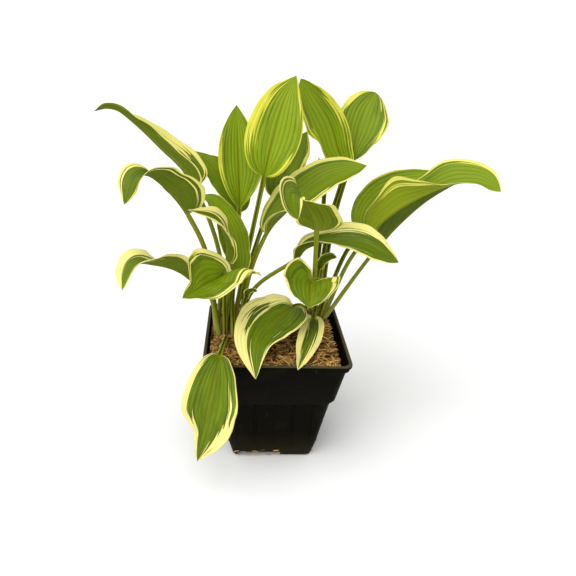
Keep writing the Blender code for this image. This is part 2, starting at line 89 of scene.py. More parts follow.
CROWN_RADIUS = 11
CROWN_OVERLAP = 1.5

CROWNS = {"left": (-40, 3), "right": (36, 33)}

ROUTE_STEPS = 12
VEINS = 6
STALK_WRAP = math.radians(150)
STALK_WALL = 0.55

HEAP_SEED = 11
HULL_SEED = 12
SLOT_SEED = 21
SLOT_HULL_SEED = 22

LENS = 37.5
CAMERA_SPOT = (-0.0304, -0.447, 0.3253)
SUN_WAY = (-0.45, -0.55, 0.9)
SUN_ANGLE = math.radians(70)
FLAT_RADIUS = 1.4
DISH_STEPS = 25
DISH_STRIDE = 0.12
DISH_BEND = 0.14
ROUND_STEPS = 96


def leaf(crown, foot, stalk, rib, face, width, **shape):
    """One leaf: the crown it grows from, its foot's ring and bearing there, the points its stalk
    passes, its midrib from stalk to tip, the way its upper side looks along it, and its width.
    shape may hold, each for the left and the right half and from base to tip: sides, their share of
    the width; fold and curl, how steeply they rise from the midrib and bend on, in degrees; and
    lobe, how far they reach back past the stalk. wave is the height of the margins' waves, left and
    right, their number and where they start, and taper how the outline narrows to base and to tip."""
    return dict(crown=crown, foot=foot, stalk=stalk, rib=rib, face=face, width=width, **shape)


def both(*values):
    """The same values for a leaf's left and its right half."""
    return values, values


LEAVES = {
    # tall leaves of the left crown, from the outside in
    "01": leaf("left", (8.5, 165), [(-46, 9, 160)],
        [(-68, 16, 219), (-95, 25, 246), (-120, 24, 268), (-131, 21, 273), (-140, 18, 270)],
        [(0.45, 0.3, 0.85), (0.4, 0.3, 0.9), (0.1, 0.3, 0.9), (-0.2, 0.7, 0.6)], 44,
        sides=((0.75, 0.35, 0.5, 0.9), (1, 0.95, 0.8, 1)),
        fold=((60, 50, 10), (60, 45, 10)), taper=(0.6, 1.2)),
    "02": leaf("left", (8.5, 190), [(-55, -4, 163)],
        [(-71, -10, 203), (-91, -22, 230), (-102, -29, 232), (-111, -36, 215)],
        [(0.3, 0.8, 0.5), (0.2, 0.8, 0.55), (-0.4, -0.4, 0.8), (-0.4, -0.9, 0.3)], 42,
        sides=((1, 1.1, 0.9, 0.7, 0.7), (0.75, 0.65, 0.4, 1, 0.9)),
        fold=((25, 25, 5), (45, 30, 0)), taper=(0.5, 0.8), wave=(2, 0, 1.5, 0.1)),
    "03": leaf("left", (8.5, 100), [(-35, 22, 155)],
        [(-33, 36, 193), (-41, 44, 210), (-55, 50, 226), (-71, 54, 238)],
        [(0.3, -0.8, 0.5)], 28,
        fold=both(20, 15, 20), taper=(0.7, 1.1)),
    "04": leaf("left", (4, 70), [(-34, 16, 160)],
        [(-32, 28, 198), (-33, 36, 228), (-36, 50, 276)],
        [(0, -0.9, 0.3), (0.1, -0.9, 0.3)], 35,
        sides=(1, (1.1, 1.2, 0.9, 0.85)), fold=both(35, 15, 10), taper=(1, 1)),
    "05": leaf("left", (4, -20), [(-25, 16, 160)],
        [(-13, 16, 228), (-7, 21, 256), (0, 27, 282), (9, 34, 301)],
        [(-0.1, -0.9, 0.4), (-0.1, -0.9, 0.5)], 44,
        fold=both(20, 8, 5), taper=(0.75, 1)),
    "06": leaf("left", (8.5, 70), [(-24, 22, 146)],
        [(-4, 48, 203), (11, 66, 228), (24, 76, 254)],
        [(-0.5, -0.7, 0.5)], 32,
        sides=(1, 1.25), fold=both(20, 15, 10), taper=(0.8, 0.9)),
    "07": leaf("left", (8.5, 5), [(-22, 14, 147)],
        [(-9, 25, 178), (6, 28, 196), (33, 32, 221), (51, 34, 230), (70, 34, 235)],
        [(-0.4, -0.1, 0.9), (-0.3, -0.5, 0.85), (-0.2, -0.7, 0.7)], 42,
        fold=both(60, 20, 5), curl=((10, 10, 5), (10, 0, 0)), taper=(0.75, 0.9)),
    # tall leaves of the right crown
    "08": leaf("right", (4, 80), [(44, 43, 179)],
        [(55, 54, 224), (49, 60, 244), (39, 61, 268), (14, 50, 298)],
        [(-0.2, -0.9, 0.3), (0.1, -0.9, 0.4)], 44,
        sides=((1, 1.2, 1.25, 1.5), 0.62), fold=((0, 0, 0), (15, 10, 10)),
        curl=((50, 105, 40, 0), (5, 5, 5)), taper=(0.7, 0.8)),
    "09": leaf("right", (8.5, 45), [(48, 48, 177)],
        [(62, 64, 232), (66, 73, 250), (73, 82, 272), (82, 86, 288)],
        [(-0.2, -0.9, 0.4)], 44,
        sides=(0.9, 1.1), fold=both(15, 5, 5), taper=(1, 0.65)),
    "10": leaf("right", (4, 150), [(38, 44, 165)],
        [(41, 64, 208), (38, 73, 220), (36, 77, 232)],
        [(0, -0.9, 0.4)], 16),
    "11": leaf("right", (8.5, 232), [(32, 14, 130), (31, 12, 152)],
        [(28, -3, 191), (24, -8, 202), (16, -16, 215), (7, -24, 224), (5, -30, 221),
         (10, -35, 208)],
        [(0.3, 0.6, 0.7), (0.3, 0.3, 0.8), (0.5, -0.5, 0.7), (0.3, -0.9, 0.3)], 40,
        sides=((1.5, 1.2, 0.6, 0.5), (1.5, 1.1, 0.8, 0.9)),
        fold=((20, 20, 10), (10, 10, 10)), curl=((10, 20, 20), (10, 10, 0)),
        taper=(0.55, 0.7), lobe=(0.15, 0.15), wave=(3, 0, 1.2, 0.3)),
    "12": leaf("right", (8.5, 14), [(63, 40, 148)],
        [(80, 37, 177), (92, 33, 193), (108, 27, 208), (131, 19, 223), (153, 10, 230),
         (171, 2, 225)],
        [(-0.5, 0.6, 0.6), (-0.4, 0.5, 0.75), (-0.1, -0.4, 0.9), (0.2, -0.85, 0.5)], 46,
        sides=((1, 1, 0.7, 1.3, 1.8), (1.3, 1.1, 0.65, 0.55, 0.6)),
        fold=((50, 45, 10), (70, 60, 10)), curl=((10, 10, 5), (60, 10, 0)),
        taper=(0.5, 0.8), lobe=(0.1, 0), wave=(0, 3, 2.5, 0.25)),
    "13": leaf("right", (8.5, -16), [(72, 38, 140)],
        [(92, 44, 167), (109, 48, 186), (130, 52, 204), (158, 54, 222)],
        [(-0.4, 0.5, 0.7), (-0.3, 0.5, 0.8)], 32,
        fold=((40, 40, 10), (50, 40, 10))),
    "14": leaf("right", (4, 0), [(60, 47, 151)],
        [(76, 58, 171), (87, 71, 188), (106, 85, 199), (135, 84, 211), (159, 88, 215)],
        [(-0.4, -0.7, 0.6), (-0.2, -0.7, 0.7)], 42,
        fold=both(20, 15, 10), taper=(0.7, 0.8)),
    # low leaves in the middle
    "15": leaf("left", (8.5, 37), [(-18, 18, 132)],
        [(14, 24, 155), (26, 24, 168), (52, 22, 175), (75, 16, 174), (99, 8, 162)],
        [(-0.5, 0.2, 0.8), (-0.1, -0.5, 0.85), (0.2, -0.6, 0.75)], 40,
        sides=(0.85, 1), fold=((40, 15, 5), (60, 25, 0)), curl=((0, 0, 0), (0, 10, 0)),
        taper=(1, 0.85)),
    "16": leaf("right", (8.5, 287), [(41, 12, 128), (38, 3, 146)],
        [(28, 0, 146), (26, -10, 143), (24, -24, 134)],
        [(-0.05, -0.55, 0.85), (-0.05, -0.75, 0.65)], 50,
        fold=((30, 20, 15), (25, 20, 15)), lobe=(0.35, 0.35), taper=(0.45, 0.9)),
    "17": leaf("right", (8.5, 205), [(24, 18, 116)],
        [(14, 4, 122), (4, -10, 120), (-8, -28, 117), (-16, -46, 112), (-17, -66, 95)],
        [(-0.1, -0.4, 0.9), (-0.1, -0.6, 0.8), (0, -0.8, 0.6)], 44,
        sides=((1.2, 0.8, 0.45), (1.15, 1.2, 1.1)),
        fold=((10, 5, 15), (10, 10, 20)), lobe=(0.02, 0.1), taper=(0.5, 0.85)),
    "18": leaf("right", (8.5, 259), [(34, 18, 110)],
        [(32, 6, 111), (28, -16, 108), (14, -62, 101)],
        [(0, -0.3, 0.95), (0, -0.7, 0.7)], 20,
        fold=((10, 5, 15), (10, 10, 20)), taper=(0.5, 0.8)),
    # low leaves of the left crown
    "19": leaf("left", (8.5, 270), [(-41, -30, 107)],
        [(-44, -58, 109), (-47, -68, 97), (-53, -76, 66), (-59, -80, 32)],
        [(0, -0.9, 0.5), (0, -0.95, 0.3)], 40,
        sides=((0.6, 0.9, 1.1, 1.35, 1.4), (0.85, 0.95, 1, 0.45, 0.45)),
        fold=both(10, 5, 5), taper=(0.75, 1), wave=(1.5, 1.5, 2.5, 0)),
    "20": leaf("left", (4, 250), [(-42, -9, 131)],
        [(-43, -20, 154), (-51, -31, 157), (-70, -58, 155)],
        [(0.25, -0.75, 0.6), (0.1, -0.75, 0.6)], 50,
        sides=((1.7, 1, 0.8, 0.6), (0.8, 1.1, 1, 0.45, 0.5)),
        fold=((115, 50, 20, 10), (5, 5, 10)), curl=((25, 10, 10, 10), (10, 10)),
        lobe=(0.12, 0.02), taper=(0.45, 0.9)),
    "21": leaf("left", (8.5, 225), [(-53, -5, 133)],
        [(-68, -2, 146), (-80, -8, 157), (-95, -14, 163), (-108, -20, 164), (-117, -30, 148)],
        [(0.3, 0.7, 0.6), (0.2, 0.6, 0.7), (-0.5, -0.2, 0.85), (-0.8, -0.5, 0.3)], 34,
        sides=(1, (0.9, 1.1, 1.8)), fold=((20, 20, 10), (30, 20, 10)), taper=(0.7, 0.8)),
    "22": leaf("left", (4, 180), [(-39, -4, 139)],
        [(-40, -9, 166), (-41, -12, 182), (-49, -18, 201), (-68, -26, 210)],
        [(0.6, 0.2, 0.3), (0.4, -0.2, 0.8), (0.1, -0.4, 0.9)], 24,
        fold=((20, 20, 10), (30, 20, 10))),
    "23": leaf("left", (8.5, 310), [(-36, -1, 130)],
        [(-34, 0, 155), (-38, 3, 171), (-44, 4, 193), (-53, 7, 208), (-63, 10, 211)],
        [(0.5, -0.8, 0.2), (0.4, -0.8, 0.4), (0.3, -0.5, 0.8)], 32,
        sides=((0.5, 0.6, 0.8), 1), fold=both(20, 15, 10)),
    "24": leaf("right", (4, 270), [(36, 29, 130)],
        [(37, 31, 147), (40, 32, 154), (46, 33, 157), (52, 33, 156)],
        [(0, -0.9, 0.3)], 14,
        fold=both(50, 50, 30)),
    "25": leaf("left", (8.5, 337), [(-28, 0, 118)],
        [(-25, 0, 132), (-21, -1, 137), (-16, -2, 138)],
        [(0.3, -0.6, 0.7)], 8,
        fold=both(50, 40, 30)),
}

# How each leaf looks: its green from light to deep, which is its own green by age and also painted
# shade, deeper on the low leaves and on those whose undersides show, the share of its left and its
# right half that stays green before the pale margin, from base to tip, the margin's colour from cream
# to yellow, and how far streaks reach over the green's edge.
LOOKS = {
    "01": (0.75, ((0.95, 0.9, 0.9), (1.0, 0.6, 0.4, 0.6)), 0.4, 0.5),
    "02": (0.85, ((0.9, 0.85, 0.8), (0.7, 0.75, 0.7)), 0.3, 0.4),
    "03": (0.35, (0.97, 0.97), 0.7, 0.1),
    "04": (0.1, ((0.95, 0.82, 0.95), 0.98), 1.0, 0.3),
    "05": (0.05, ((1.0, 0.75, 0.55, 0.75), (0.97, 0.95, 0.95)), 1.0, 0.5),
    "06": (0.6, ((0.95, 0.95), (0.9, 0.7)), 0.8, 0.3),
    "07": (0.35, ((0.9, 0.8, 0.85), (0.8, 0.82, 0.85)), 0.4, 0.25),
    "08": (0.05, ((0.95, 0.85, 0.85, 0.95), (1.0, 0.85, 0.6, 0.95)), 0.95, 0.5),
    "09": (0.4, ((0.98, 0.9, 0.6), (0.96, 0.9, 0.8)), 0.7, 0.4),
    "10": (0.5, (0.3, 0.3), 0.3, 0.3),
    "11": (0.6, ((0.9, 0.85, 0.7), (0.9, 0.85, 0.75)), 0.3, 0.3),
    "12": (0.2, ((0.97, 0.95, 0.9), (0.95, 0.85, 0.9)), 0.6, 0.4),
    "13": (1.0, (0.95, 0.95), 0.6, 0.2),
    "14": (0.0, ((1.05, 1.0, 0.9), 1.0), 0.9, 0.2),
    "15": (0.8, ((0.8, 0.6, 0.5, 0.8), (0.85, 0.86, 0.9)), 0.15, 0.5),
    "16": (0.6, ((0.85, 0.88), (0.88, 0.92)), 0.2, 0.3),
    "17": (0.75, ((0.85, 0.9, 0.85, 0.75), (0.4, 0.65, 0.62, 0.45, 0.3)), 0.1, 0.5),
    "18": (0.8, ((0.5, 0.35, 0.2), (0.5, 0.4, 0.2)), 0.15, 0.4),
    "19": (0.7, ((0.95, 0.9, 0.88, 0.5, 0.5), (0.9, 0.85, 0.75, 0.4, 0.4)), 0.1, 0.4),
    "20": (0.45, ((0.85, 0.86, 0.95), (0.7, 0.86, 0.95)), 0.25, 0.3),
    "21": (0.7, ((0.8, 0.7, 0.5, 0.3), (0.8, 0.7, 0.5, 0.35)), 0.15, 0.5),
    "22": (0.7, ((0.7, 0.5), (0.6, 0.3)), 0.2, 0.5),
    "23": (0.25, (0.97, 0.97), 0.8, 0.1),
    "24": (0.6, (0.8, 0.8), 0.3, 0.3),
    "25": (0.7, (0.8, 0.8), 0.3, 0.2),
}


# ---- settings


def colour(**settings):
    return FloatVectorProperty(size=3, subtype="COLOR", min=0, max=1, **settings)


class LeafSettings(bpy.types.PropertyGroup):
    # The green between light and deep is each leaf's own green by age and also painted shade: the low
    # leaves and those whose undersides show are given the deep green.
    light_green: colour(
        name="Light green", description="Upper side of the young, sunlit leaves",
        default=(0.21, 0.3, 0.003))
    deep_green: colour(
        name="Deep green", description="Upper side of the old, shaded leaves",
        default=(0.05, 0.092, 0.0008))
    # The underside colours are painted light: a darker green for the shade on undersides that face
    # down, and a yellow-green on the top leaves for light shining through them.
    underside_with_painted_shade: colour(
        name="Underside", description="Underside of the leaves, duller than the upper side",
        default=(0.075, 0.11, 0.001))
    painted_backlit_underside: colour(
        name="Young underside", description="Underside of the young, sunlit leaves",
        default=(0.24, 0.28, 0.004))
    cream: colour(
        name="Cream margin", description="Margin of the old leaves",
        default=(0.86, 0.77, 0.29))
    yellow: colour(
        name="Yellow margin", description="Margin of the young leaves",
        default=(0.62, 0.6, 0.055))
    stalk_green: colour(
        name="Stalk", description="The stalks and the midribs that they run into",
        default=(0.21, 0.22, 0.007))
    vein_depth: FloatProperty(
        name="Vein depth", description="How far the blade arches up between two veins",
        default=0.0007, min=0, max=0.002, unit="LENGTH")
    blade_thickness: FloatProperty(
        name="Blade thickness", description="Thickness of the blade between the veins",
        default=0.0004, min=0.0002, max=0.002, unit="LENGTH")
    stalk_radius: FloatProperty(
        name="Stalk radius", description="Outside radius of a stalk where it meets the blade",
        default=0.0018, min=0.0005, max=0.005, unit="LENGTH")
    margin_ripple: FloatProperty(
        name="Margin ripple", description="How far the margins wave up and down",
        default=0.0011, min=0, max=0.005, unit="LENGTH")


class PotSettings(bpy.types.PropertyGroup):
    plastic: colour(
        name="Plastic", description="Colour of the moulded plastic",
        default=(0.0022, 0.0018, 0.0004))
    # The dust colour also paints a grey highlight along the top of the rim.
    dust: colour(
        name="Dust", description="Colour of the dried dust and lime on the pot",
        default=(0.2, 0.17, 0.09))
    soil: colour(
        name="Soil", description="Colour of the potting soil",
        default=(0.03, 0.02, 0.011))
    rim_bevel: FloatProperty(
        name="Edge rounding", description="Rounding of the moulded edges",
        default=0.0005, min=0, max=0.003, unit="LENGTH")


class MulchSettings(bpy.types.PropertyGroup):
    hull_pale: colour(
        name="Pale hull", description="The freshest rice hulls",
        default=(0.74, 0.45, 0.13))
    # The brown colours the weathered hulls and also the bed under them: painted shade in the gaps
    # between the hulls.
    brown_hull_and_gap_shade: colour(
        name="Brown hull", description="The weathered rice hulls",
        default=(0.1, 0.04, 0.005))
    hull_length: FloatProperty(
        name="Hull length", description="Length of one rice hull",
        default=0.0102, min=0.003, max=0.014, unit="LENGTH")
    hull_count: IntProperty(
        name="Hulls", description="Number of loose hulls on the heap", default=2100, min=0, max=6000)


class StageSettings(bpy.types.PropertyGroup):
    floor: colour(
        name="Floor", description="Colour of the floor and the backdrop",
        default=(0.9, 0.9, 0.89))
    key_strength: FloatProperty(
        name="Key light", description="Strength of the broad key light", default=2.8, min=0)
    ambient: FloatProperty(
        name="Ambient", description="Strength of the pale surroundings", default=0.56, min=0)


# ---- materials


class Finish:
    """A node material that is built up link by link."""

    def __init__(self, name):
        self.material = bpy.data.materials.new(name)
        self.material.use_nodes = True
        self.tree = self.material.node_tree
        self.shader = self.tree.nodes["Principled BSDF"]

    def node(self, kind, inputs=None, **settings):
        made = self.tree.nodes.new(kind)
        for key, value in settings.items():
            setattr(made, key, value)
        for key, value in (inputs or {}).items():
            self.feed(made.inputs[key], value)
        return made

    def feed(self, socket, value):
        if isinstance(value, bpy.types.NodeSocket):
            self.tree.links.new(value, socket)
        else:
            socket.default_value = value

    def math(self, operation, first, second=0.0, clamp=False):
        made = self.node("ShaderNodeMath", {0: first, 1: second}, operation=operation, use_clamp=clamp)
        return made.outputs[0]

    def times(self, first, second):
        return self.math("MULTIPLY", first, second)

    def plus(self, first, second, clamp=False):
        return self.math("ADD", first, second, clamp)

    def ramp(self, value, low, high, out_low=0.0, out_high=1.0):
        inputs = {"Value": value, "From Min": low, "From Max": high}
        inputs.update({"To Min": out_low, "To Max": out_high})
        made = self.node("ShaderNodeMapRange", inputs, interpolation_type="SMOOTHSTEP")
        return made.outputs[0]

    def mix(self, share, first, second, blend="MIX"):
        made = self.node("ShaderNodeMix", data_type="RGBA", blend_type=blend)
        self.feed(made.inputs[0], share)
        self.feed(made.inputs[6], opaque(first))
        self.feed(made.inputs[7], opaque(second))
        return made.outputs[2]

    def noise(self, vector, scale, detail=3.0, roughness=0.5):
        inputs = {"Vector": vector, "Scale": scale, "Detail": detail, "Roughness": roughness}
        return self.node("ShaderNodeTexNoise", inputs).outputs["Fac"]

    def streaks(self, vector, often, detail, roughness=0.5, shift=(0, 0, 0)):
        """Noise drawn out to streaks, given how often it varies along each axis."""
        inputs = {"Vector": vector, "Location": shift, "Scale": often}
        return self.noise(self.node("ShaderNodeMapping", inputs).outputs[0], 1.0, detail, roughness)

    def place(self):
        return self.node("ShaderNodeTexCoord").outputs["Object"]

    def attribute(self, name):
        return self.node("ShaderNodeAttribute", attribute_name=name).outputs["Fac"]

    def bump(self, height, strength, distance):
        inputs = {"Height": height, "Strength": strength, "Distance": distance}
        self.feed(self.shader.inputs["Normal"], self.node("ShaderNodeBump", inputs).outputs["Normal"])

    def set(self, **values):
        for key, value in values.items():
            self.feed(self.shader.inputs[key.replace("_", " ")], value)


def opaque(value):
    if isinstance(value, bpy.types.NodeSocket):
        return value
    return (*value, 1.0)


def leaf_finish(name, settings, under):
    """The leaf's skin: green between its veins, a streaked pale margin, and a stalk-coloured midrib.
    The UV map runs across the blade in U, with the midrib at a whole number, and along it in V."""
    finish = Finish(name)
    uv = finish.node("ShaderNodeUVMap", uv_map="leaf").outputs[0]
    parts = finish.node("ShaderNodeSeparateXYZ", {0: uv})
    along = parts.outputs[1]
    across = finish.attribute("across")
    spread = finish.math("ABSOLUTE", across)
    green_share = finish.attribute("green_share")
    # Each leaf's green between light and deep: its own green by age and also painted shade on the low
    # leaves and on those whose undersides show.
    age_and_painted_shade = finish.attribute("age_and_painted_shade")
    warmth = finish.attribute("warmth")

    streaks = finish.streaks(uv, (9, 1.5, 1), 1.0)
    fine_streaks = finish.streaks(uv, (38, 1.6, 1), 2.0, 0.6)
    inner_streaks = finish.streaks(uv, (7, 1.3, 1), 1.5, shift=(0.37, 5.1, 0))
    wide = finish.streaks(uv, (3, 3, 1), 2.0)

    splash = finish.attribute("splash")
    reach = finish.ramp(streaks, 0.3, 0.7, -0.5, 0.5)
    fine_reach = finish.ramp(fine_streaks, 0.3, 0.7, -0.16, 0.16)
    edge = finish.math("SUBTRACT", spread, green_share)
    reach = finish.times(finish.plus(reach, fine_reach), splash)
    edge = finish.plus(edge, reach)
    rim = finish.math("MAXIMUM", green_share, 0.955)
    edge = finish.math("MAXIMUM", edge, finish.math("SUBTRACT", spread, rim))
    pale = finish.ramp(edge, -0.008, 0.014)
    inner_edge = finish.plus(edge, finish.ramp(inner_streaks, 0.3, 0.7, -0.1, 0.45))
    middle_tone = finish.ramp(inner_edge, -0.01, 0.02)

    green = finish.mix(age_and_painted_shade, settings.light_green, settings.deep_green)
    ribs = finish.math("COSINE", finish.times(across, VEINS * 2 * math.pi))
    veins = finish.ramp(ribs, 0.7, 1.0)
    # Darker green along the veins: painted shade in the vein grooves.
    painted_vein_groove_shade = tuple(0.5 * part for part in settings.stalk_green)
    green = finish.mix(finish.times(veins, 0.55), green, painted_vein_groove_shade)
    cloud = finish.ramp(wide, 0.3, 0.75)
    green = finish.mix(finish.times(cloud, 0.35), green, settings.light_green)
    shaded = finish.mix(1.0, green, (0.62, 0.66, 2.0), "MULTIPLY")
    green = finish.mix(finish.times(middle_tone, 0.75), green, shaded)
    margin = finish.mix(warmth, settings.cream, settings.yellow)
    margin_shade = finish.ramp(fine_streaks, 0.3, 0.8)
    margin = finish.mix(finish.times(margin_shade, 0.25), margin, settings.yellow)
    skin = finish.mix(pale, green, margin)

    rib_width = finish.ramp(along, 0.0, 1.0, 0.075, 0.012)
    rib = finish.ramp(finish.math("DIVIDE", spread, rib_width), 1.0, 0.45)
    rib = finish.times(rib, finish.ramp(along, 1.0, 0.55, 0.15, 0.8))
    skin = finish.mix(finish.times(rib, 0.8), skin, settings.stalk_green)
    stalk = finish.ramp(along, 0.05, -0.02)
    stalk_colour = finish.mix(finish.ramp(along, -1.0, -0.6), (0.38, 0.34, 0.07), settings.stalk_green)
    stalk_colour = finish.mix(finish.times(streaks, 0.5), stalk_colour, settings.light_green)
    skin = finish.mix(stalk, skin, stalk_colour)
    if under:
        # Undersides: duller, with painted shade in a darker green, and on the top leaves painted light
        # shining through in a yellow-green.
        underside_with_painted_light = finish.mix(0.55, skin, finish.mix(age_and_painted_shade, settings.painted_backlit_underside, settings.underside_with_painted_shade))
        keep = finish.math("MAXIMUM", pale, stalk)
        skin = finish.mix(keep, underside_with_painted_light, skin)
    finish.set(Base_Color=skin, Roughness=0.55 if under else 0.42, Specular_IOR_Level=0.16)
    finish.set(Subsurface_Weight=0.12, Subsurface_Radius=(0.0016, 0.0018, 0.0004), Subsurface_Scale=1.0)
    relief = finish.plus(fine_streaks, finish.times(veins, -1.2))
    finish.bump(relief, 0.5, 0.0003)
    return finish.material


def plastic_finish(settings):
    finish = Finish("moulded_black_plastic")
    place = finish.place()
    specks = finish.noise(place, 900.0, 2.0, 0.6)
    clouds = finish.noise(place, 45.0, 4.0, 0.6)
    runs = finish.streaks(place, (300, 300, 30), 3.0, 0.6)
    height = finish.node("ShaderNodeSeparateXYZ", {0: place}).outputs[2]
    # A grey band along the top of the rim: painted highlight. It is added to the real dust layers
    # below.
    rim = finish.ramp(height, (POT_HEIGHT - 1.2) * MM, (POT_HEIGHT - 0.1) * MM)
    dust_and_rim_highlight = finish.times(finish.ramp(clouds, 0.5, 0.85), 0.03)
    layers = (
        (finish.ramp(runs, 0.62, 0.85), 0.1), (finish.ramp(height, 0.03, 0.0), 0.06),
        (finish.ramp(specks, 0.72, 0.8), 0.3), (rim, 0.3),
    )
    for layer, share in layers:
        dust_and_rim_highlight = finish.plus(dust_and_rim_highlight, finish.times(layer, share), clamp=True)
    finish.set(Base_Color=finish.mix(dust_and_rim_highlight, settings.plastic, settings.dust))
    finish.set(Roughness=finish.ramp(clouds, 0.3, 0.8, 0.4, 0.6), Specular_IOR_Level=0.03)
    finish.bump(finish.noise(place, 1600.0, 2.0), 0.15, 0.0001)
    return finish.material


def hull_finish(settings):
    finish = Finish("dry_rice_hulls")
    place = finish.place()
    shade = finish.attribute("shade")
    grain = finish.noise(place, 2500.0, 2.0)
    colour = finish.mix(shade, settings.hull_pale, settings.brown_hull_and_gap_shade)
    colour = finish.mix(finish.times(grain, 0.35), colour, settings.brown_hull_and_gap_shade)
    finish.set(Base_Color=colour, Roughness=0.75, Specular_IOR_Level=0.12)
    finish.bump(grain, 0.4, 0.0001)
    return finish.material


def soil_finish(settings):
    finish = Finish("peat_soil")
    place = finish.place()
    crumbs = finish.noise(place, 420.0, 5.0, 0.65)
    fibres = finish.noise(place, 1500.0, 3.0)
    lighter = tuple(2.6 * part for part in settings.soil)
    colour = finish.mix(finish.ramp(crumbs, 0.4, 0.7), settings.soil, lighter)
    finish.set(Base_Color=colour, Roughness=0.95)
    finish.bump(finish.plus(crumbs, finish.times(fibres, 0.4)), 1.0, 0.0012)
    return finish.material


def crown_finish():
    finish = Finish("crown_flesh")
    place = finish.place()
    patches = finish.noise(place, 260.0, 4.0, 0.6)
    scales = finish.noise(place, 1100.0, 2.0)
    colour = finish.mix(finish.ramp(patches, 0.35, 0.7), (0.2, 0.15, 0.05), (0.09, 0.05, 0.02))
    finish.set(Base_Color=colour, Roughness=0.8)
    finish.bump(finish.plus(patches, finish.times(scales, 0.5)), 0.8, 0.0008)
    return finish.material


def floor_finish(settings):
    finish = Finish("studio_floor")
    place = finish.place()
    cloth = finish.noise(place, 3.0, 2.0)
    pale = tuple(settings.floor)
    shade = tuple(0.985 * part for part in pale)
    finish.set(Base_Color=finish.mix(cloth, pale, shade), Roughness=0.9)
    return finish.material


# ---- leaf shapes


def smooth_route(points):
    """A Catmull-Rom curve through the points, with the length along it of each point of the curve."""
    knots = np.array(points, float)
    knots = np.vstack([2 * knots[0] - knots[1], knots, 2 * knots[-1] - knots[-2]])
    line = []
    for before, start, end, after in zip(knots, knots[1:], knots[2:], knots[3:]):
        for step in range(ROUTE_STEPS):
            t = step / ROUTE_STEPS
            bend = 2 * before - 5 * start + 4 * end - after
            swing = 3 * start - before - 3 * end + after
            line.append(0.5 * (2 * start + (end - before) * t + bend * t**2 + swing * t**3))
    line.append(knots[-2])
    line = np.array(line)
    steps = np.linalg.norm(np.diff(line, axis=0), axis=1)
    return line, np.concatenate([[0], np.cumsum(steps)])


def place_on(route, along):
    line, lengths = route
    return np.stack([np.interp(along, lengths, line[:, axis]) for axis in range(3)], -1)


def blend(values, share):
    """Runs through values given from base to tip, easing from each to the next."""
    values = np.atleast_1d(np.array(values, float))
    if len(values) == 1:
        return np.full_like(share, values[0])
    place = np.clip(share, 0, 1) * (len(values) - 1)
    number = np.clip(place.astype(int), 0, len(values) - 2)
    part = place - number
    part = part * part * (3 - 2 * part)
    return values[number] * (1 - part) + values[number + 1] * part


def by_side(halves, left, blade):
    return np.where(left, blend(halves[0], blade), blend(halves[1], blade))


def outline(share, base_taper, tip_taper):
    """The blade's half width, as a share of its widest, at a share of its length."""
    share = np.clip(share, 0, 1)
    widest = base_taper / (base_taper + tip_taper)
    return (share / widest) ** base_taper * ((1 - share) / (1 - widest)) ** tip_taper


def facing(route, face, along, junction, start):
    """The midrib's direction, the blade's normal and its side direction at lengths along a leaf."""
    total = route[1][-1]
    reach = 0.03 * (total - junction)
    ahead = place_on(route, np.minimum(along + reach, total))
    forward = ahead - place_on(route, np.maximum(along - reach, start))
    forward /= np.linalg.norm(forward, axis=-1, keepdims=True)
    share = np.clip((along - junction) / (total - junction), 0, 1) * (len(face) - 1)
    looks = [np.array(look, float) / np.linalg.norm(look) for look in face]
    stops = range(len(looks))
    look = np.stack([np.interp(share, stops, [way[axis] for way in looks]) for axis in range(3)], -1)
    normal = look - (look * forward).sum(-1, keepdims=True) * forward
    normal /= np.linalg.norm(normal, axis=-1, keepdims=True)
    return forward, normal, np.cross(forward, normal)


def ease(value, low, high):
    share = np.clip((value - low) / (high - low), 0, 1)
    return share * share * (3 - 2 * share)


